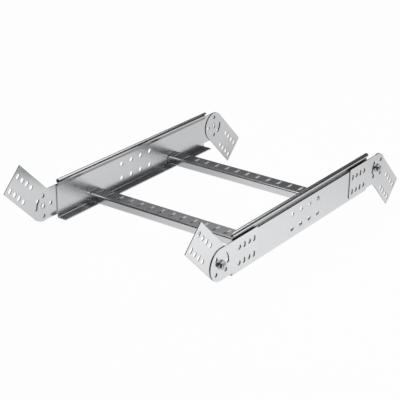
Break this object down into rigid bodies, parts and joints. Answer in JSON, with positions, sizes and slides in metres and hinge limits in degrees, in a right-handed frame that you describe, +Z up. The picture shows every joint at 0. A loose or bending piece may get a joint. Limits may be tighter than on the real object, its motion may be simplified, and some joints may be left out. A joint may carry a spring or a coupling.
{
  "type": "cable tray vertical bend",
  "caption": "Adjustable vertical bend for a cable ladder: side rails with a rolled top bead, slotted rungs, and hinged hole-patterned leaves at the ends that set the bend angle.",
  "frame": {"origin": "midway between the rails and midway along them, at the height of the lowest corners of the rear leaves", "axes": "+Z up, Y along the rails with the upward-bent leaves at the -Y end and the downward-bent leaves at the +Y end, X across the ladder with the clamp bolts on the +X side"},
  "size_m": [0.3086, 0.5548, 0.1481],
  "materials": {
    "rail_steel": "strip-galvanised, satin",
    "rung_steel": "strip-galvanised, satin",
    "leaf_steel": "strip-galvanised, satin",
    "rivet_steel": "zinc-plated",
    "bolt_steel": "zinc-plated"
  },
  "bodies": {
    "frame": {"rail_left": "rail_steel", "rail_right": "rail_steel", "rung_front": "rung_steel", "rung_rear": "rung_steel", "fixed_leaf_front_left": "leaf_steel", "fixed_leaf_front_right": "leaf_steel", "fixed_leaf_rear_left": "leaf_steel", "fixed_leaf_rear_right": "leaf_steel", "rivet_front_left": "rivet_steel", "rivet_front_right": "rivet_steel", "rivet_rear_left": "rivet_steel", "rivet_rear_right": "rivet_steel", "bolt_front_right": "bolt_steel", "bolt_rear_right": "bolt_steel", "nut_front_right": "bolt_steel", "nut_rear_right": "bolt_steel"},
    "leaf_front_left": {"free_leaf_front_left": "leaf_steel"},
    "leaf_front_right": {"free_leaf_front_right": "leaf_steel"},
    "leaf_rear_left": {"free_leaf_rear_left": "leaf_steel"},
    "leaf_rear_right": {"free_leaf_rear_right": "leaf_steel"}
  },
  "joints": [
    {"name": "hinge_front_left", "type": "hinge", "parent": "frame", "child": "leaf_front_left", "pos_m": [-0.1494, -0.2034, 0.07403], "axis": [1, 0, 0], "range_deg": [-45, 135]},
    {"name": "hinge_front_right", "type": "hinge", "parent": "frame", "child": "leaf_front_right", "pos_m": [0.1494, -0.2034, 0.07403], "axis": [1, 0, 0], "range_deg": [-45, 135]},
    {"name": "hinge_rear_left", "type": "hinge", "parent": "frame", "child": "leaf_rear_left", "pos_m": [-0.1494, 0.2034, 0.07403], "axis": [1, 0, 0], "range_deg": [-45, 135]},
    {"name": "hinge_rear_right", "type": "hinge", "parent": "frame", "child": "leaf_rear_right", "pos_m": [0.1494, 0.2034, 0.07403], "axis": [1, 0, 0], "range_deg": [-45, 135]}
  ]
}
